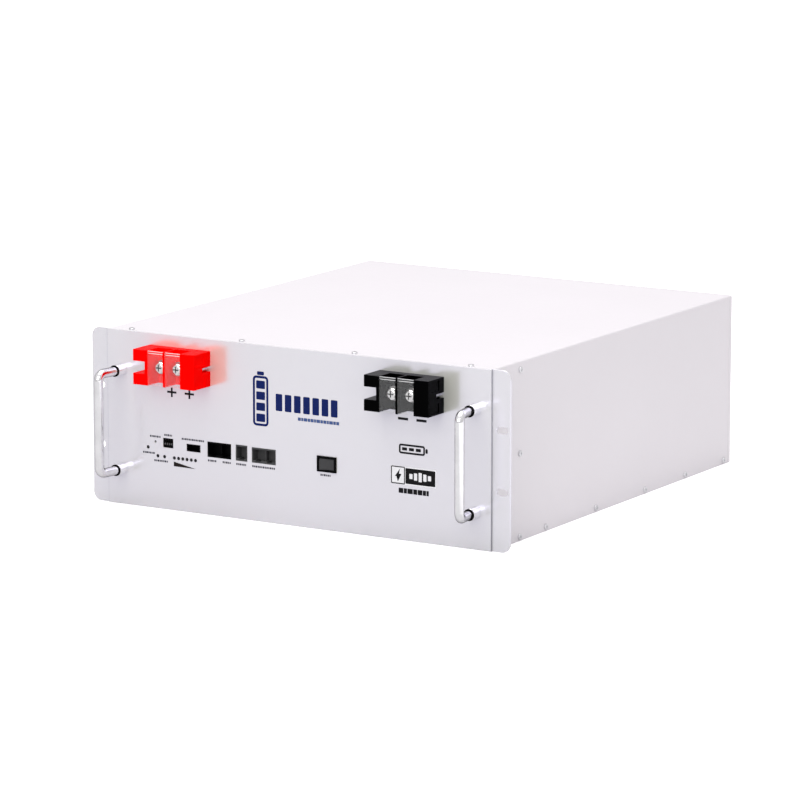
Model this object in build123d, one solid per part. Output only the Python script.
from build123d import *
import os

# Rack battery, four units high, for a 19-inch rack.
# While it is drawn, x = 0 is the middle of the width, y = 0 the front face of the front
# panel with +y to the rear, and z = 0 the underside. save() moves each piece back along y
# so that the origin lies under the middle of the whole object.

# ---- Driving dimensions, mm ------------------------------------------------------------
EAR_SPAN = 482.6          # over the rack ears, the 19-inch width
CASE_WIDTH = 444.0
HEIGHT = 177.0            # four rack units less the usual gap
DEPTH = 500.0             # front panel face to rear panel face
SHEET = 1.5               # cover, tray and rear panel
PANEL_THICK = 2.0
PANEL_WIDTH = 443.4
PANEL_FLANGE_REACH = 215.0
PANEL_FLANGE_END = 16.0   # how far the bent-back flanges reach behind the panel face
EAR_THICK = 2.0
EAR_FLANGE_THICK = 1.8
FIT = 0.1                 # air between neighbouring sheets
SIDE_INNER = CASE_WIDTH / 2 - SHEET
TRAY_LIP = 14.0           # height of the tray's side flanges
EAR_FLANGE_END = 66.0     # how far the ear's side flange reaches back
EAR_CORNER = 9.0
REAR_RIM = 4.0            # rim of the rear panel, forward of its plate
REAR_SEAM = 0.3           # between that rim and the cover

HANDLE_X = 207.5          # the bar
HANDLE_FOOT_X = 204.3     # the feet: the legs lean outwards
HANDLE_REACH = 36.0       # panel face to the middle of the bar
HANDLE_LEGS = 100.8       # between the two legs
HANDLE_MID_Z = 86.6
HANDLE_R = 4.6
HANDLE_BEND = 7.0
HANDLE_LEAN_R = 14.0      # bend where a leg starts to lean
FERRULE_LONG = 12.2
FERRULE_R = 6.0
WASHER_THICK = 0.8
WASHER_R = 5.8
HANDLE_SCREW_R = 2.0
HANDLE_SCREW_IN = 9.0     # how far the screw enters the leg

SLOT_SPAN_X = 465.1       # rack hole spacing across
SLOT_SPAN_Z = 60.325      # three 15.875 mm steps and one of 12.7 mm
SLOT_LONG = 13.0
SLOT_R = 3.4

BLOCK_LONG = 71.8
BLOCK_TALL = 35.2
BLOCK_DEEP = 30.0
BLOCK_Z = 129.9           # underside of the blocks
BLOCK_END = 17.2          # solid left end, with the open notch
CELL_WIDE = 18.3
PARTITION = 2.0
BLOCK_BASE = 10.0         # thickness of the wall behind the terminals
BLOCK_MID_Z = BLOCK_Z + BLOCK_TALL / 2
POSITIVE_X = -170.2       # left end of each block
NEGATIVE_X = 97.3
TERMINAL_STEP = CELL_WIDE + PARTITION
FIRST_TERMINAL = BLOCK_END + CELL_WIDE / 2
BOSS_X0 = 15.2            # the part of a block that passes through the panel
BOSS_X1 = 57.8
BOSS_HALF_Z = 10.0
BOSS_PLAY = 0.5           # round that part in its window
BLOCK_SCREW_R = 2.1

BOARD_Y = 18.0            # front of the control board
BOARD_THICK = 1.6

ROCKER_X = 36.85
ROCKER_Z = 65.7
ROCKER_PIVOT_Y = 3.0
ROCKER_TILT = 9.0

SLIDER_PITCH = 2.54
SLIDER_COUNT = 4
SLIDER_TRAVEL = 2.0
ADDRESS_X = -149.25
ADDRESS_Z = 67.4

CELL_W, CELL_T, CELL_H = 160.0, 49.6, 118.0
CELLS_PER_ROW = 8
CELL_GAP = 0.6            # insulating sheet between cells
ROW_GAP = 20.0            # between the two rows
MODULE_Y = 85.0           # front of the first cell
MODULE_Z = 3.6            # underside of the cells
PLATE_THICK = 4.0         # module end plates
CELL_STEP = CELL_T + CELL_GAP
MODULE_LONG = CELLS_PER_ROW * CELL_STEP - CELL_GAP
ROW_MID = ROW_GAP / 2 + CELL_W / 2
CELL_TOP = MODULE_Z + CELL_H
POST_X = 55.0             # cell terminal from the cell's middle
POST_TALL = 3.0

M3_R, M3_HEAD_R, M3_HEAD_H = 1.5, 3.0, 1.8
CLEAR = 0.1               # round a screw in a clearance hole
TAP = 0.02                # round a screw in its thread
REAR_HEAD = M3_HEAD_H

FRONT_REACH = HANDLE_REACH + HANDLE_R
MID_Y = (DEPTH + REAR_HEAD - FRONT_REACH) / 2

REAR_STRAP_LONG = 10.0    # straps under the cover, ahead of the rear rim
REAR_STRAP_REACH = 205.0  # half length of the strap under the roof
REAR_LIP_TALL = 15.0      # return flange under the roof
REAR_LIP_WIDE = 12.0      # return flanges inside the side walls
SIDE_STRAP_Z = (TRAY_LIP + 4, 158.0)

TOP_SCREW_X = (-195.5, -65.0, 65.0, 195.5)
TOP_SCREW_Y = 6.0
EAR_SCREW_Y = 54.0
EAR_SCREW_Z = (4.6, 86.5, 168.5)
SIDE_SCREW_Y = (105.5, 207.5, 310.5, 398.0, 484.0)
SIDE_SCREW_Z = 4.6
REAR_SCREWS = [(x, z) for x in (-180.0, 0.0, 180.0) for z in (7.0, 169.0)]
REAR_SCREWS += [(x, 88.5) for x in (-214.0, 214.0)]


# ---- Helpers ---------------------------------------------------------------------------
def block(x0, x1, y0, y1, z0, z1):
    """A box given by its two opposite corners."""
    middle = Pos((x0 + x1) / 2, (y0 + y1) / 2, (z0 + z1) / 2)
    return middle * Box(x1 - x0, y1 - y0, z1 - z0)


def rod_x(y, z, x0, x1, r):
    return Pos((x0 + x1) / 2, y, z) * Rot(0, 90, 0) * Cylinder(r, x1 - x0)


def rod_y(x, z, y0, y1, r):
    return Pos(x, (y0 + y1) / 2, z) * Rot(90, 0, 0) * Cylinder(r, y1 - y0)


def rod_z(x, y, z0, z1, r):
    return Pos(x, y, (z0 + z1) / 2) * Cylinder(r, z1 - z0)


def cross_recess(reach, width, top, depth):
    """The Phillips recess of a screw whose head ends at z = top."""
    blade = Pos(0, 0, top) * Box(2 * reach, width, 2 * depth)
    return blade + Rot(0, 0, 90) * blade


def pan_screw(r, length, head_r, head_h):
    """A pan-head screw pointing down -z with its head's underside at z = 0."""
    head = Pos(0, 0, head_h / 2) * Cylinder(head_r, head_h)
    head = fillet(head.edges().group_by(Axis.Z)[-1], head_h * 0.45)
    head -= cross_recess(head_r * 0.55, head_r * 0.22, head_h, head_h * 0.5)
    return head + Pos(0, 0, -length / 2) * Cylinder(r, length)


def hex_nut(across, height, bore):
    """A hexagon nut standing on z = 0."""
    prism = extrude(RegularPolygon(across / 2, 6, major_radius=False), height)
    return prism - Pos(0, 0, height / 2) * Cylinder(bore, height)


def bar_path(points, radius, path_radii):
    """A round bar of the given radius through the points, with an arc at each corner."""
    path = FilletPolyline(*points, radius=path_radii)
    start = Plane(origin=path @ 0, z_dir=path % 0)
    return sweep(start * Circle(radius), path=path)


FACING = {"right": Rot(0, 90, 0), "left": Rot(0, -90, 0), "rear": Rot(-90, 0, 0),
          "front": Rot(90, 0, 0), "up": Rot(0, 0, 0)}
M3_SCREW = pan_screw(M3_R, 6.0, M3_HEAD_R, M3_HEAD_H)


def save(name, *pieces):
    """Write one node, moved so that the origin is under the middle of the object."""
    moved = [Pos(0, -MID_Y, 0) * solid for piece in pieces for solid in piece.solids()]
    shape = moved[0] if len(moved) == 1 else Compound(children=moved)
    export_step(shape, f"parts/{name}.step")


# ---- Casing ----------------------------------------------------------------------------
def side_holes(y, z, r):
    """A hole through both side walls."""
    return rod_x(y, z, -CASE_WIDTH / 2 - 1, CASE_WIDTH / 2 + 1, r)


def make_bottom_tray():
    half = SIDE_INNER - FIT
    behind_ears = PANEL_THICK + EAR_THICK + FIT
    tray = block(-half, half, behind_ears, DEPTH - SHEET, 0, SHEET)
    tray += block(-half + 2, half - 2, PANEL_THICK + FIT, behind_ears, 0, SHEET)
    for side in (-1, 1):
        x0, x1 = sorted((side * half, side * (half - SHEET)))
        tray += block(x0, x1, EAR_FLANGE_END + 2, DEPTH - 2 * SHEET, 0, TRAY_LIP)
    tray += block(-half, half, DEPTH - 2 * SHEET, DEPTH - SHEET, 0, TRAY_LIP)
    for y in SIDE_SCREW_Y:
        tray -= side_holes(y, SIDE_SCREW_Z, M3_R + TAP)
    for x, z in REAR_SCREWS:
        if z < TRAY_LIP:
            tray -= rod_y(x, z, DEPTH - 3 * SHEET, DEPTH, M3_R + TAP)
    return tray


def make_shell(y0, y1):
    """The roof and both side walls between two places along the case."""
    half = CASE_WIDTH / 2
    outside = block(-half, half, y0, y1, 0, HEIGHT)
    outside = fillet(outside.edges().filter_by(Axis.Y).group_by(Axis.Z)[-1], 2.0)
    inside = block(-half + SHEET, half - SHEET, y0 - 1, y1 + 1, -1, HEIGHT - SHEET)
    inside = fillet(inside.edges().filter_by(Axis.Y).group_by(Axis.Z)[-1], 0.5)
    return outside - inside


def make_top_cover():
    half = CASE_WIDTH / 2
    front = PANEL_THICK + EAR_THICK + FIT
    rear = DEPTH - SHEET
    cover = make_shell(front, rear - REAR_RIM - REAR_SEAM)
    lip = half - SHEET - 2.2
    cover += block(-lip, lip, PANEL_THICK + FIT, front, HEIGHT - SHEET, HEIGHT)
    # Straps inside the rear edge, which the rear panel's rim slides over, with the return
    # flanges that the rear panel is screwed to.
    strap = rear - REAR_RIM - REAR_STRAP_LONG
    roof = HEIGHT - SHEET
    reach = REAR_STRAP_REACH
    cover += block(-reach, reach, strap, rear, roof - SHEET, roof)
    cover += block(-reach, reach, rear - SHEET, rear, HEIGHT - REAR_LIP_TALL, roof)
    for side in (-1, 1):
        wall = side * (half - SHEET)
        for depth, front_y in ((SHEET, strap), (REAR_LIP_WIDE, rear - SHEET)):
            x0, x1 = sorted((wall, wall - side * depth))
            cover += block(x0, x1, front_y, rear, *SIDE_STRAP_Z)
    for x in TOP_SCREW_X:
        cover -= rod_z(x, TOP_SCREW_Y, HEIGHT - 3 * SHEET, HEIGHT + 1, M3_R + CLEAR)
    for z in EAR_SCREW_Z:
        cover -= side_holes(EAR_SCREW_Y, z, M3_R + CLEAR)
    for y in SIDE_SCREW_Y:
        cover -= side_holes(y, SIDE_SCREW_Z, M3_R + CLEAR)
    for x, z in REAR_SCREWS:
        if z > TRAY_LIP:
            cover -= rod_y(x, z, rear - 2 * SHEET, rear + 1, M3_R + TAP)
    return cover


def make_rear_panel():
    """A plate whose rim carries on the line of the cover."""
    half = CASE_WIDTH / 2
    inner = DEPTH - SHEET
    plate = block(-half, half, inner, DEPTH, 0, HEIGHT)
    plate = fillet(plate.edges().filter_by(Axis.Y).group_by(Axis.Z)[-1], 2.0)
    plate = fillet(plate.edges().group_by(Axis.Y)[-1], 0.6)
    panel = plate + make_shell(inner - REAR_RIM, inner)
    for x, z in REAR_SCREWS:
        panel -= rod_y(x, z, DEPTH - 2 * SHEET, DEPTH + 1, M3_R + CLEAR)
    return panel


def terminal_xs(block_x):
    return [block_x + FIRST_TERMINAL + n * TERMINAL_STEP for n in range(2)]


def make_front_panel():
    half = PANEL_WIDTH / 2
    before, behind = -1, PANEL_THICK + 1
    plate = block(-half, half, 0, PANEL_THICK, 0, HEIGHT)
    plate = chamfer(plate.edges().group_by(Axis.Y)[0], 0.4)
    # Bent-back flanges along the top and the bottom.
    reach = PANEL_FLANGE_REACH
    for z0 in (SHEET + FIT, HEIGHT - 2 * SHEET - FIT):
        plate += block(-reach, reach, PANEL_THICK, PANEL_FLANGE_END, z0, z0 + SHEET)
    for x in TOP_SCREW_X:
        plate -= rod_z(x, TOP_SCREW_Y, HEIGHT - 5, HEIGHT - SHEET, M3_R + TAP)
    for x0 in (POSITIVE_X, NEGATIVE_X):
        plate -= block(x0 + BOSS_X0 - BOSS_PLAY, x0 + BOSS_X1 + BOSS_PLAY, before, behind,
                       BLOCK_MID_Z - BOSS_HALF_Z - BOSS_PLAY, BLOCK_MID_Z + BOSS_HALF_Z + BOSS_PLAY)
        plate -= rod_y(x0 + BLOCK_TONGUE_X, BLOCK_MID_Z, before, behind, BLOCK_SCREW_R + CLEAR)
        stud_x = x0 + BLOCK_LONG - STUD_IN
        plate -= rod_y(stud_x, BLOCK_MID_Z, before, behind, STUD_TAIL_R + CLEAR)
    for x in (-HANDLE_FOOT_X, HANDLE_FOOT_X):
        for z in handle_leg_zs():
            plate -= rod_y(x, z, before, behind, HANDLE_SCREW_R + CLEAR)
    for x0, x1, z0, z1 in panel_windows():
        plate -= block(x0, x1, before, behind, z0, z1)
    for x, z in LIGHTS:
        plate -= rod_y(x, z, before, behind, LIGHT_R + LIGHT_PLAY)
    plate -= rod_y(RESET_X, RESET_Z, before, behind, RESET_HOLE_R)
    return plate


def make_ear(side):
    inner = SIDE_INNER - FIT - EAR_FLANGE_THICK
    outer = EAR_SPAN / 2
    front, back = PANEL_THICK, PANEL_THICK + EAR_THICK
    plate = block(inner, outer, front, back, 0, HEIGHT)
    plate = fillet(plate.edges().filter_by(Axis.Y).group_by(Axis.X)[-1], EAR_CORNER)
    plate = chamfer(plate.faces().sort_by(Axis.Y)[0].edges(), 0.3)
    plate += block(inner, inner + EAR_FLANGE_THICK, back, EAR_FLANGE_END, SHEET + FIT,
                   HEIGHT - 2 * SHEET)
    for z in (HEIGHT / 2 - SLOT_SPAN_Z / 2, HEIGHT / 2 + SLOT_SPAN_Z / 2):
        run = SLOT_LONG / 2 - SLOT_R
        x = SLOT_SPAN_X / 2
        plate -= block(x - run, x + run, front - 1, back + 1, z - SLOT_R, z + SLOT_R)
        for end in (-run, run):
            plate -= rod_y(x + end, z, front - 1, back + 1, SLOT_R)
    for z in EAR_SCREW_Z:
        plate -= rod_x(EAR_SCREW_Y, z, inner - 1, inner + 3, M3_R + TAP)
    return plate if side > 0 else mirror(plate, about=Plane.YZ)


def make_casing_screws():
    top = [Pos(x, TOP_SCREW_Y, HEIGHT) * M3_SCREW for x in TOP_SCREW_X]
    places = [(EAR_SCREW_Y, z) for z in EAR_SCREW_Z] + [(y, SIDE_SCREW_Z) for y in SIDE_SCREW_Y]
    sides = []
    for y, z in places:
        sides.append(Pos(CASE_WIDTH / 2, y, z) * FACING["right"] * M3_SCREW)
        sides.append(Pos(-CASE_WIDTH / 2, y, z) * FACING["left"] * M3_SCREW)
    rear = [Pos(x, DEPTH, z) * FACING["rear"] * M3_SCREW for x, z in REAR_SCREWS]
    return top, sides, rear


# ---- Handles ---------------------------------------------------------------------------
def handle_leg_zs():
    return (HANDLE_MID_Z - HANDLE_LEGS / 2, HANDLE_MID_Z + HANDLE_LEGS / 2)


def make_handle(side):
    """A round bar on two legs, on the left (side -1) or the right (side 1)."""
    low, high = handle_leg_zs()
    foot_x, bar_x = side * HANDLE_FOOT_X, side * HANDLE_X
    foot = -(FERRULE_LONG + WASHER_THICK)
    knee = foot - 3           # where a leg starts to lean
    points = [(foot_x, foot, high), (foot_x, knee, high), (bar_x, -HANDLE_REACH, high),
              (bar_x, -HANDLE_REACH, low), (foot_x, knee, low), (foot_x, foot, low)]
    bends = [HANDLE_LEAN_R, HANDLE_BEND, HANDLE_BEND, HANDLE_LEAN_R]
    handle = bar_path(points, HANDLE_R, bends)
    for z in (low, high):
        handle -= rod_y(foot_x, z, foot - HANDLE_SCREW_IN - 2, foot + 1, HANDLE_SCREW_R + TAP)
    return handle


def make_handle_fixings():
    ferrules, washers, screws = [], [], []
    foot = FERRULE_LONG + WASHER_THICK
    for x in (-HANDLE_FOOT_X, HANDLE_FOOT_X):
        for z in handle_leg_zs():
            bore = rod_y(x, z, -foot - 1, 1, HANDLE_SCREW_R + CLEAR)
            sleeve = rod_y(x, z, -FERRULE_LONG, 0, FERRULE_R)
            sleeve = chamfer(sleeve.edges().filter_by(GeomType.CIRCLE), 0.4)
            ferrules.append(sleeve - bore)
            washers.append(rod_y(x, z, -foot, -FERRULE_LONG, WASHER_R) - bore)
            screw = pan_screw(HANDLE_SCREW_R, PANEL_THICK + foot + HANDLE_SCREW_IN, 4.0, 2.6)
            screws.append(Pos(x, PANEL_THICK, z) * FACING["rear"] * screw)
    return ferrules, washers, screws


# ---- Terminal blocks -------------------------------------------------------------------
BLOCK_TONGUE_X = 9.5      # mounting screw from the block's left end
TONGUE_IN = 4.0           # the tongue starts this far in from the left end
STUD_IN = 6.0             # locating stud from the block's right end
STUD_R = 2.5
STUD_LONG = 11.0
STUD_TAIL_R = 1.5         # the part of the stud behind the panel face
NOTCH_TALL = 12.5
NOTCH_DEEP = 14.0
NOTCH_ROOT = 4.0          # thickness of the tongue
POCKET_DEEP = 0.8
POCKET_Y = (-0.88 * BLOCK_DEEP, -0.3 * BLOCK_DEEP)
POCKETS_Z = ((2.0, 11.0), (BLOCK_TALL - 12.0, BLOCK_TALL - 2.0))
HINGE_Y = -28.5           # flap pin, behind the block's front face
HINGE_Z = BLOCK_Z + BLOCK_TALL - 1.6
HINGE_R = 1.0
FLAP_SIDE_GAP = 0.3
FLAP_THICK = 1.4
FLAP_PIN = 0.9            # how far a flap's pins stand out
TERMINAL_R = 4.0
POST_R = 6.6
POST_FACE = -16.0         # front of the round posts that a cable lug lies on
TERMINAL_WASHER_R = 7.0
HEAD_SEAT = -17.5         # underside of the terminal screws' heads
HEAD_R, HEAD_TALL = 6.1, 6.4
TERMINAL_LONG = 36.5
LINK_BAR_Y = (4.0, 7.0)
LUG_THICK = 3.0


def make_terminal_block(x0):
    body = block(x0, x0 + BLOCK_LONG, -BLOCK_DEEP, 0, BLOCK_Z, BLOCK_Z + BLOCK_TALL)
    body = fillet(body.edges().group_by(Axis.Y)[0], 0.8)
    mid = BLOCK_MID_Z
    for n in range(2):
        left = x0 + BLOCK_END + n * TERMINAL_STEP
        body -= block(left, left + CELL_WIDE, -BLOCK_DEEP - 1, -BLOCK_BASE, BLOCK_Z - 1,
                      BLOCK_Z + BLOCK_TALL + 1)
        # Small ledges that stop the flap when it is shut.
        for edge in (left, left + CELL_WIDE - 1.0):
            body += block(edge, edge + 1.0, HINGE_Y + 0.3, HINGE_Y + 1.8, BLOCK_Z + 2, BLOCK_Z + 7)
    # Open notch at the left end, with a thin tongue at its root for the mounting screw.
    notch_z = (mid - NOTCH_TALL / 2, mid + NOTCH_TALL / 2)
    body -= block(x0 - 1, x0 + NOTCH_DEEP, -BLOCK_DEEP - 1, -NOTCH_ROOT, *notch_z)
    body -= block(x0 - 1, x0 + TONGUE_IN, -NOTCH_ROOT - 1, 1, *notch_z)
    body -= rod_y(x0 + BLOCK_TONGUE_X, mid, -NOTCH_ROOT - 1, 1, BLOCK_SCREW_R + CLEAR)
    # Slot in the rear of the right end, which slides over the locating stud.
    right = x0 + BLOCK_LONG
    body -= block(right - STUD_IN - 4, right + 1, -STUD_LONG - 3, 1, mid - STUD_R - 0.25,
                  mid + STUD_R + 0.25)
    # Two shallow moulding pockets in the right end.
    for z0, z1 in POCKETS_Z:
        body -= block(right - POCKET_DEEP, right + 1, *POCKET_Y, BLOCK_Z + z0, BLOCK_Z + z1)
    # Boss that carries the terminals through the panel.
    body += block(x0 + BOSS_X0, x0 + BOSS_X1, 0, PANEL_THICK + 2, mid - BOSS_HALF_Z,
                  mid + BOSS_HALF_Z)
    for x in terminal_xs(x0):
        body -= rod_y(x, mid, -BLOCK_BASE - 1, PANEL_THICK + 3, TERMINAL_R + 0.3)
    # Holes for the flap pins, through the end walls' inner faces and the partition.
    pin_reach = FLAP_PIN + FLAP_SIDE_GAP
    for n in range(2):
        left = x0 + BLOCK_END + n * TERMINAL_STEP
        for a, b in ((left - pin_reach, left), (left + CELL_WIDE, left + CELL_WIDE + pin_reach)):
            body -= rod_x(HINGE_Y, HINGE_Z, a, b, HINGE_R + 0.06)
    return body


def make_flap(x0, n):
    """One clear cover, hinged on two small pins at its top corners."""
    left = x0 + BLOCK_END + n * TERMINAL_STEP + FLAP_SIDE_GAP
    right = left + CELL_WIDE - 2 * FLAP_SIDE_GAP
    front = -BLOCK_DEEP + 0.1
    flap = block(left, right, front, front + FLAP_THICK, BLOCK_Z + 1, HINGE_Z)
    flap += rod_x(HINGE_Y, HINGE_Z, left, right, FLAP_THICK)
    # A shallow finger lip along the lower edge.
    flap += block(left + 3, right - 3, front + FLAP_THICK, front + FLAP_THICK + 1.2, BLOCK_Z + 1,
                  BLOCK_Z + 2.2)
    for a, b in ((left - FLAP_PIN, left + 0.5), (right - 0.5, right + FLAP_PIN)):
        flap += rod_x(HINGE_Y, HINGE_Z, a, b, HINGE_R)
    return flap


def make_terminal_hardware():
    mid = BLOCK_MID_Z
    posts, washers, screws, nuts, bars, mounts = [], [], [], [], [], []
    lug_x = (terminal_xs(POSITIVE_X)[1], terminal_xs(NEGATIVE_X)[0])
    for x0 in (POSITIVE_X, NEGATIVE_X):
        xs = terminal_xs(x0)
        for x in xs:
            bore = rod_y(x, mid, HEAD_SEAT - 1, 1, TERMINAL_R + CLEAR)
            posts.append(rod_y(x, mid, POST_FACE, -BLOCK_BASE, POST_R) - bore)
            washers.append(rod_y(x, mid, HEAD_SEAT, POST_FACE, TERMINAL_WASHER_R) - bore)
            screw = pan_screw(TERMINAL_R, TERMINAL_LONG, HEAD_R, HEAD_TALL)
            screws.append(Pos(x, HEAD_SEAT, mid) * FACING["front"] * screw)
            seat = LINK_BAR_Y[1] + (LUG_THICK if x in lug_x else 0)
            nut = hex_nut(13.0, 6.5, TERMINAL_R + TAP)
            nuts.append(Pos(x, seat, mid) * FACING["rear"] * nut)
        bar = block(xs[0] - 9, xs[1] + 9, *LINK_BAR_Y, mid - 9, mid + 9)
        for x in xs:
            bar -= rod_y(x, mid, LINK_BAR_Y[0] - 1, LINK_BAR_Y[1] + 1, TERMINAL_R + CLEAR)
        bars.append(bar)
        cap = pan_screw(BLOCK_SCREW_R, 9.0, 3.4, 3.2)
        mounts.append(Pos(x0 + BLOCK_TONGUE_X, -NOTCH_ROOT, mid) * FACING["front"] * cap)
        stud_x = x0 + BLOCK_LONG - STUD_IN
        stud = rod_y(stud_x, mid, -STUD_LONG, 0, STUD_R)
        mounts.append(stud + rod_y(stud_x, mid, 0, 5, STUD_TAIL_R))
    return posts, washers, screws, nuts, bars, mounts


# ---- Controls and sockets --------------------------------------------------------------
LIGHT_R = 1.6
LIGHT_PLAY = 0.15         # round a light pipe in its hole
LIGHTS = [(-173.3, 61.1), (-161.7, 53.3), (-153.7, 53.2)]
LIGHTS += [(-142.0 + 5.04 * n, 53.1) for n in range(6)]
RESET_X, RESET_Z = -164.4, 67.5
RESET_HOLE_R = 1.25
RESET_TRAVEL = 0.6
STANDOFFS = [(x, z) for x in (-181.0, -19.0) for z in (45.0, 79.0)]
SOCKET_PLAY = 0.15        # round a socket in its window
# Each socket: left, right, bottom, top, and how many plugs it takes.
SOCKETS = {"port_pair_left": (-102.4, -74.6, 58.6, 73.9, 2),
           "port_single": (-69.0, -55.6, 58.4, 74.3, 1),
           "port_pair_right": (-50.2, -22.4, 58.4, 73.6, 2)}
TEST_SOCKET = (-127.1, -110.9, 61.7, 69.0)
ADDRESS_HALF_X, ADDRESS_HALF_Z = 5.95, 4.7
ROCKER_HALF_X, ROCKER_HALF_Z = 11.05, 7.8
ROCKER_BODY_X, ROCKER_BODY_Z = 9.9, 7.0
ROCKER_WELL_X, ROCKER_WELL_Z = 8.9, 5.7


def panel_windows():
    """The rectangular cut-outs in the front panel."""
    windows = [(a, b, c, d) for a, b, c, d, n in SOCKETS.values()]
    windows.append(TEST_SOCKET)
    windows.append((ADDRESS_X - ADDRESS_HALF_X, ADDRESS_X + ADDRESS_HALF_X,
                    ADDRESS_Z - ADDRESS_HALF_Z, ADDRESS_Z + ADDRESS_HALF_Z))
    windows = [(a - SOCKET_PLAY, b + SOCKET_PLAY, c - SOCKET_PLAY, d + SOCKET_PLAY)
               for a, b, c, d in windows]
    windows.append((ROCKER_X - ROCKER_BODY_X - 0.1, ROCKER_X + ROCKER_BODY_X + 0.1,
                    ROCKER_Z - ROCKER_BODY_Z - 0.1, ROCKER_Z + ROCKER_BODY_Z + 0.1))
    return windows


def make_socket(x0, x1, z0, z1, plugs):
    """A network socket standing on the control board, with its plug cavities."""
    body = block(x0, x1, 0.3, BOARD_Y, z0, z1)
    wall = 1.0
    step = (x1 - x0) / plugs
    floor = z0 + 2.4
    for n in range(plugs):
        a = x0 + n * step + (wall if n == 0 else 0.5)
        b = x0 + (n + 1) * step - (wall if n == plugs - 1 else 0.5)
        body -= block(a, b, -1, 9.0, floor, z1 - 1.6)
        middle = (a + b) / 2
        body -= block(middle - 3.1, middle + 3.1, -1, 9.0, z0 + 1.0, floor + 0.5)
    if plugs > 1:
        # The wall between the plugs starts behind the mouth.
        body -= block(x0 + step - 1, x0 + step + 1, -1, 4.0, floor, z1 - 1.6)
    return body


def make_test_socket():
    x0, x1, z0, z1 = TEST_SOCKET
    body = block(x0, x1, 0.3, BOARD_Y, z0, z1)
    body -= block(x0 + 0.9, x1 - 0.9, -1, 9.0, z0 + 0.9, z1 - 0.9)
    for n in range(4):
        x = (x0 + x1) / 2 + (n - 1.5) * 3.5
        body += rod_y(x, (z0 + z1) / 2, 5.2, 9.5, 0.5)
    return body


def slider_x(n):
    return ADDRESS_X + (n - (SLIDER_COUNT - 1) / 2) * SLIDER_PITCH


def make_address_switch():
    body = block(ADDRESS_X - ADDRESS_HALF_X, ADDRESS_X + ADDRESS_HALF_X, 0.8, BOARD_Y,
                 ADDRESS_Z - ADDRESS_HALF_Z, ADDRESS_Z + ADDRESS_HALF_Z)
    for n in range(SLIDER_COUNT):
        x = slider_x(n)
        body -= block(x - 0.8, x + 0.8, 0, 2.6, ADDRESS_Z - 2.3, ADDRESS_Z + 2.3)
    return body


def make_slider(n):
    """A small slide of the address switch, drawn at the lower end of its slot."""
    x = slider_x(n)
    low = ADDRESS_Z - 2.0
    foot = block(x - 0.5, x + 0.5, 1.0, 2.3, low, low + 2.0)
    return foot + block(x - 0.5, x + 0.5, 0.2, 1.0, low + 0.4, low + 1.6)


def make_reset():
    switch = block(RESET_X - 3, RESET_X + 3, 12, BOARD_Y, RESET_Z - 3, RESET_Z + 3)
    switch -= rod_y(RESET_X, RESET_Z, 11, 15.2, 1.3)
    button = rod_y(RESET_X, RESET_Z, 1.2, 14.2, 0.95)
    button = fillet(button.edges().group_by(Axis.Y)[0], 0.3)
    return switch, button


def make_power_switch():
    bezel = block(ROCKER_X - ROCKER_HALF_X, ROCKER_X + ROCKER_HALF_X, -1.8, 0,
                  ROCKER_Z - ROCKER_HALF_Z, ROCKER_Z + ROCKER_HALF_Z)
    bezel = chamfer(bezel.edges().group_by(Axis.Y)[0], 0.6)
    body = bezel + block(ROCKER_X - ROCKER_BODY_X, ROCKER_X + ROCKER_BODY_X, 0, 20,
                         ROCKER_Z - ROCKER_BODY_Z, ROCKER_Z + ROCKER_BODY_Z)
    body -= block(ROCKER_X - ROCKER_WELL_X, ROCKER_X + ROCKER_WELL_X, -3, 8,
                  ROCKER_Z - ROCKER_WELL_Z, ROCKER_Z + ROCKER_WELL_Z)
    body -= rod_z(ROCKER_X, ROCKER_PIVOT_Y, ROCKER_Z - ROCKER_WELL_Z - 0.8,
                  ROCKER_Z + ROCKER_WELL_Z + 0.8, 1.05)
    for n in (-1, 1):
        tab = block(-3.0, 3.0, 20, 27, -0.4, 0.4)
        body += Pos(ROCKER_X + n * 5, 0, ROCKER_Z) * tab
    return body


def make_rocker():
    """The rocker, drawn with its right-hand end pressed in."""
    outline = Polyline((-7.9, 1.2), (-7.9, -5.4), (0, -4.2), (7.9, -5.4), (7.9, 1.2), (2.5, 3.0),
                       (-2.5, 3.0), close=True)
    tall = 2 * (ROCKER_WELL_Z - 0.3)
    prism = extrude(make_face(outline), tall / 2, both=True)
    prism = fillet(prism.edges().group_by(Axis.Y)[0], 0.6)
    prism += Cylinder(1.0, tall + 1.4)
    return Pos(ROCKER_X, ROCKER_PIVOT_Y, ROCKER_Z) * Rot(0, 0, ROCKER_TILT) * prism


def make_control_board():
    board = block(-186, -14, BOARD_Y, BOARD_Y + BOARD_THICK, 40, 84)
    chips = [(-150, 60, 12, 12), (-118, 60, 9, 16), (-90, 52, 14, 10), (-62, 66, 10, 7),
             (-38, 56, 8, 12)]
    for x, z, wide, tall in chips:
        y = BOARD_Y + BOARD_THICK
        board += block(x - wide / 2, x + wide / 2, y, y + 2, z - tall / 2, z + tall / 2)
    for x, z in STANDOFFS:
        board -= rod_y(x, z, BOARD_Y - 1, BOARD_Y + 3, 1.6)
    return board


def make_standoffs():
    posts = []
    for x, z in STANDOFFS:
        spacer = Pos(x, PANEL_THICK, z) * FACING["rear"] * hex_nut(5.5, BOARD_Y - PANEL_THICK, 1.52)
        posts.append(spacer)
        screw = pan_screw(1.5, 8.0, 2.8, 1.6)
        posts.append(Pos(x, BOARD_Y + BOARD_THICK, z) * FACING["rear"] * screw)
    return posts


def make_light_pipes():
    pipes = []
    for x, z in LIGHTS:
        pipe = rod_y(x, z, -0.5, BOARD_Y, LIGHT_R)
        pipes.append(fillet(pipe.edges().group_by(Axis.Y)[0], 0.45))
    return pipes


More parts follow.
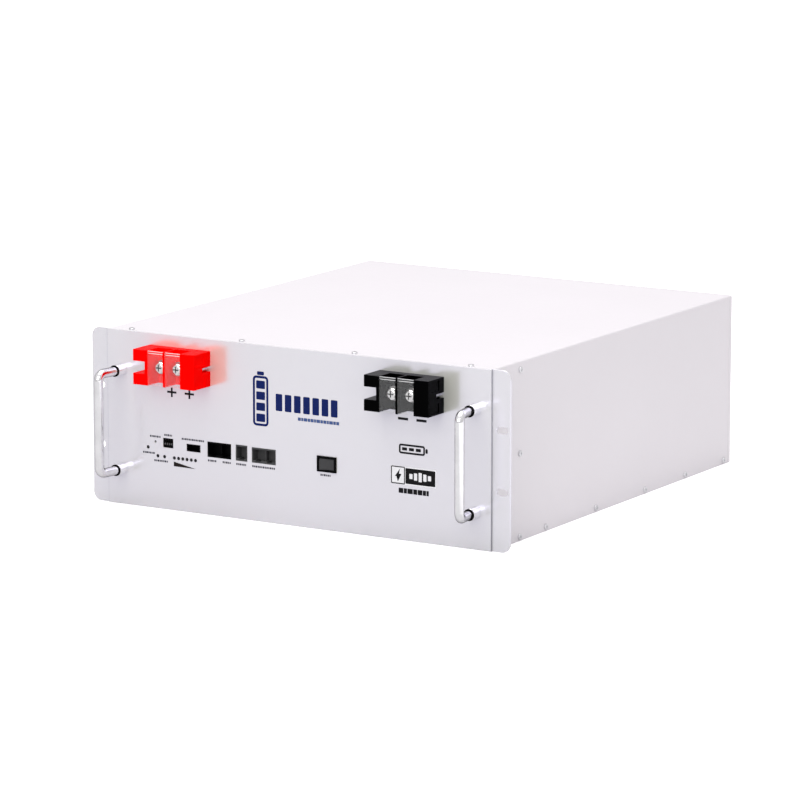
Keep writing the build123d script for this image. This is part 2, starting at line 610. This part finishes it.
# ---- Battery module --------------------------------------------------------------------
def cell_y(n):
    """The front of cell n of a row."""
    return MODULE_Y + n * CELL_STEP


def make_cell_row(side):
    cells = []
    for n in range(CELLS_PER_ROW):
        mid = side * ROW_MID
        can = block(mid - CELL_W / 2, mid + CELL_W / 2, cell_y(n), cell_y(n) + CELL_T, MODULE_Z,
                    CELL_TOP)
        cells.append(fillet(can.edges().filter_by(Axis.Z), 2.0))
    return cells


def make_cell_posts():
    posts = []
    for side in (-1, 1):
        for n in range(CELLS_PER_ROW):
            for post in (-1, 1):
                x = side * ROW_MID + post * POST_X
                y = cell_y(n) + CELL_T / 2
                posts.append(block(x - 10, x + 10, y - 7, y + 7, CELL_TOP, CELL_TOP + POST_TALL))
    return posts


def make_busbars():
    """Links that put the cells of each row, and the two rows, in series."""
    z0 = CELL_TOP + POST_TALL
    links = []
    for side in (-1, 1):
        for n in range(CELLS_PER_ROW - 1):
            post = 1 if n % 2 == 0 else -1
            x = side * (ROW_MID + post * POST_X)
            y0 = cell_y(n) + CELL_T / 2 - 7
            y1 = cell_y(n + 1) + CELL_T / 2 + 7
            links.append(block(x - 9, x + 9, y0, y1, z0, z0 + 2))
    y = cell_y(CELLS_PER_ROW - 1) + CELL_T / 2
    inner = ROW_MID - POST_X
    links.append(block(-inner - 9, inner + 9, y - 7, y + 7, z0, z0 + 2))
    return links


def make_separators():
    sheets = []
    for side in (-1, 1):
        for n in range(CELLS_PER_ROW - 1):
            y = cell_y(n) + CELL_T
            mid = side * ROW_MID
            sheets.append(block(mid - CELL_W / 2 + 3, mid + CELL_W / 2 - 3, y, y + CELL_GAP,
                                MODULE_Z, CELL_TOP - 2))
    return sheets


def make_end_plate(y0):
    reach = ROW_MID + CELL_W / 2
    plate = block(-reach, reach, y0, y0 + PLATE_THICK, MODULE_Z, CELL_TOP - 4)
    for side in (-1, 1):
        for z in (38.0, 86.0):
            plate -= rod_y(side * ROW_MID, z, y0 - 1, y0 + PLATE_THICK + 1, 12)
    return plate


def make_straps():
    """Two steel bands round the whole module."""
    reach = ROW_MID + CELL_W / 2
    front = MODULE_Y - PLATE_THICK
    rear = MODULE_Y + MODULE_LONG + PLATE_THICK
    bands = []
    for z in (22.0, 102.0):
        outer = block(-reach - 1, reach + 1, front - 1, rear + 1, z - 8, z + 8)
        bands.append(outer - block(-reach, reach, front, rear, z - 9, z + 9))
    return bands


def make_brackets():
    """Angles that hold the module down to the tray."""
    reach = ROW_MID + CELL_W / 2 + 1
    brackets = []
    for side in (-1, 1):
        for y in (150.0, 420.0):
            x0, x1 = sorted((side * reach, side * (reach + 2)))
            foot0, foot1 = sorted((side * reach, side * (reach + 30)))
            angle = block(x0, x1, y - 20, y + 20, SHEET, 90)
            angle += block(foot0, foot1, y - 20, y + 20, SHEET, SHEET + 2)
            for dy in (-11, 11):
                angle -= rod_z(side * (reach + 20), y + dy, 0, 6, 2.2)
            brackets.append(angle)
    return brackets


BMS_Y = 66.0
BMS_THICK = 1.6
BMS_Z = (18.0, 108.0)
BMS_X = (-130.0, 130.0)
LINK_Z = CELL_TOP + POST_TALL
FIRST_POST_Y = MODULE_Y + CELL_T / 2
INNER_POST_X = ROW_MID - POST_X


def make_bms():
    """The battery management board, its finned sink and the posts that carry them."""
    z0, z1 = BMS_Z
    back = BMS_Y + BMS_THICK
    board = block(BMS_X[0], BMS_X[1], BMS_Y, back, z0, z1)
    for n in range(12):
        x = -110 + n * 20
        board += block(x - 5, x + 5, back, back + 4.4, z0 + 30, z0 + 46)
    for n in range(4):
        board += rod_y(-75 + n * 50, z1 - 18, back, back + 9, 6)
    sink = block(BMS_X[0], BMS_X[1] - 40, BMS_Y - 4, BMS_Y, z0 + 6, z1 - 14)
    for n in range(17):
        x = BMS_X[0] + 4 + n * 13
        sink += block(x, x + 2, BMS_Y - 16, BMS_Y - 4, z0 + 6, z1 - 14)
    posts = []
    for x in (BMS_X[0] + 6, BMS_X[1] - 6):
        for z in (z0 + 3, z1 - 4):
            posts.append(rod_y(x, z, back, MODULE_Y - PLATE_THICK - 1, 3))
    return board, sink, posts


# ---- Power path ------------------------------------------------------------------------
FUSE_X = (-100.0, -42.0)
FUSE_Y = (62.0, 80.0)
FUSE_BASE_Z = 111.0
CABLE_R = 5.0
CABLE_Y = 9.0             # a lead hangs this far behind the panel face
LUG_BARREL = 20.0         # stud to the end of the lug


def make_fuse():
    """The main fuse in its holder, on the front end plate."""
    x0, x1 = FUSE_X
    y0, y1 = FUSE_Y
    holder = block(x0, x1, y0, y1, FUSE_BASE_Z, LINK_Z - 4)
    holder += block(x0 + 8, x1 - 8, y1, MODULE_Y - PLATE_THICK, FUSE_BASE_Z, FUSE_BASE_Z + 6)
    for a, b in ((x0, x0 + 16), (x1 - 16, x1)):
        holder += block(a, b, y0 + 2, y1 - 2, LINK_Z - 4, LINK_Z)
    middle = (x0 + x1) / 2
    holder += rod_x((y0 + y1) / 2, LINK_Z + 2, middle - 12, middle + 12, 7)
    return holder


def make_link_bars():
    """Copper bars from the fuse and from the management board to the first cells."""
    y0, y1 = FIRST_POST_Y - 7, FIRST_POST_Y + 7
    top = LINK_Z + 2
    plus = block(FUSE_X[1] - 16, -INNER_POST_X + 9, FUSE_Y[0] + 2, FUSE_Y[1] - 2, LINK_Z, top)
    plus += block(-INNER_POST_X - 6, -INNER_POST_X + 9, FUSE_Y[0] + 2, y1, LINK_Z, top)
    back = BMS_Y + BMS_THICK
    minus = block(INNER_POST_X - 9, INNER_POST_X + 9, back, y1, LINK_Z, top)
    minus += block(INNER_POST_X - 9, INNER_POST_X + 9, back, back + 2, BMS_Z[1] - 8, top)
    return plus, minus


def make_harness():
    """The flat cell-sensing harness, in the gap between the two rows."""
    z = CELL_TOP - 1
    y = BMS_Y + BMS_THICK
    run = block(-6, 6, y + 8.4, cell_y(CELLS_PER_ROW - 1) + CELL_T, z - 1.2, z)
    run += block(-6, 6, y + 8.4, y + 9.6, BMS_Z[1] - 20, z)
    return run + block(-8, 8, y, y + 8.4, BMS_Z[1] - 20, BMS_Z[1] - 10)


def terminal_lug(x):
    """The ring and barrel of a lug on a terminal stud, above its lead."""
    mid = BLOCK_MID_Z
    front, back = LINK_BAR_Y[1], LINK_BAR_Y[1] + LUG_THICK
    ring = rod_y(x, mid, front, back, 8.5)
    ring += block(x - 6, x + 6, front, back, mid - LUG_BARREL, mid - 6)
    ring -= rod_y(x, mid, front - 1, back + 1, TERMINAL_R + CLEAR)
    return ring + block(x - 5, x + 5, 5, 12, mid - LUG_BARREL, mid - LUG_BARREL + 8)


def make_cables():
    """The power leads, from the positive terminal to the fuse and from the negative one
    to the management board."""
    top = BLOCK_MID_Z - LUG_BARREL
    x = terminal_xs(POSITIVE_X)[1]
    pad_x = FUSE_X[0] + 8
    route = [(x, CABLE_Y, top), (x, CABLE_Y, 108), (-104, 34, 108), (pad_x, 48, LINK_Z + 6),
             (pad_x, 60, LINK_Z + 6)]
    plus = bar_path(route, CABLE_R, 8) + terminal_lug(x)
    plus += block(pad_x - 6, pad_x + 6, 60, 66, LINK_Z, LINK_Z + 11)
    plus += block(pad_x - 7, pad_x + 7, 66, 77, LINK_Z, LINK_Z + 3)
    x = terminal_xs(NEGATIVE_X)[0]
    end_x = BMS_X[1] - 18
    route = [(x, CABLE_Y, top), (x, CABLE_Y, 98), (end_x, 30, 98), (end_x, 60, 98)]
    minus = bar_path(route, CABLE_R, 9) + terminal_lug(x)
    minus += block(end_x - 6, end_x + 6, 60, BMS_Y, 90, BMS_Z[1] - 3)
    return plus, minus


# ---- Write every node ------------------------------------------------------------------
def save_casing():
    save("bottom_tray", make_bottom_tray())
    save("top_cover", make_top_cover())
    save("front_panel", make_front_panel())
    save("rear_panel", make_rear_panel())
    save("rack_ear_left", make_ear(-1))
    save("rack_ear_right", make_ear(1))
    top, sides, rear = make_casing_screws()
    save("cover_top_screws", *top)
    save("cover_side_screws", *sides)
    save("rear_panel_screws", *rear)
    save("handle_left", make_handle(-1))
    save("handle_right", make_handle(1))
    ferrules, washers, screws = make_handle_fixings()
    save("handle_ferrules", *ferrules)
    save("handle_washers", *washers)
    save("handle_screws", *screws)


def save_terminals():
    save("positive_terminal_block", make_terminal_block(POSITIVE_X))
    save("negative_terminal_block", make_terminal_block(NEGATIVE_X))
    posts, washers, screws, nuts, bars, mounts = make_terminal_hardware()
    save("terminal_posts", *posts)
    save("terminal_washers", *washers)
    save("terminal_screws", *screws)
    save("terminal_nuts", *nuts)
    save("terminal_link_bars", *bars)
    save("block_fixings", *mounts)
    for sign, x0 in (("positive", POSITIVE_X), ("negative", NEGATIVE_X)):
        for n, place in enumerate(("left", "right")):
            save(f"{sign}_flap_{place}", make_flap(x0, n))


def save_controls():
    for name, size in SOCKETS.items():
        save(name, make_socket(*size))
    save("test_socket", make_test_socket())
    save("address_switch", make_address_switch())
    for n in range(SLIDER_COUNT):
        save(f"address_slider_{n + 1}", make_slider(n))
    switch, button = make_reset()
    save("reset_switch", switch)
    save("reset_button", button)
    save("power_switch", make_power_switch())
    save("power_rocker", make_rocker())
    save("control_board", make_control_board())
    save("status_light_pipes", *make_light_pipes())


def save_module():
    save("cell_row_left", *make_cell_row(-1))
    save("cell_row_right", *make_cell_row(1))
    save("cell_posts", *make_cell_posts())
    save("cell_busbars", *make_busbars())
    save("cell_separators", *make_separators())
    save("end_plate_front", make_end_plate(MODULE_Y - PLATE_THICK))
    save("end_plate_rear", make_end_plate(MODULE_Y + MODULE_LONG))
    save("module_straps", *make_straps())
    save("module_brackets", *make_brackets())
    reach = ROW_MID + CELL_W / 2
    rear = MODULE_Y + MODULE_LONG
    save("base_insulator", block(-reach, reach, MODULE_Y - 4, rear + 4, SHEET, MODULE_Z))
    save("top_insulator", block(-reach, reach, MODULE_Y + 6, rear - 6, LINK_Z + 2, LINK_Z + 3.5))
    board, sink, posts = make_bms()
    save("bms_board", board)
    save("bms_heat_sink", sink)
    save("board_posts", *posts, *make_standoffs())
    save("main_fuse", make_fuse())
    save("module_link_bars", *make_link_bars())
    save("sense_harness", make_harness())
    plus, minus = make_cables()
    save("positive_cable", plus)
    save("negative_cable", minus)


os.makedirs("parts", exist_ok=True)
save_casing()
save_terminals()
save_controls()
save_module()
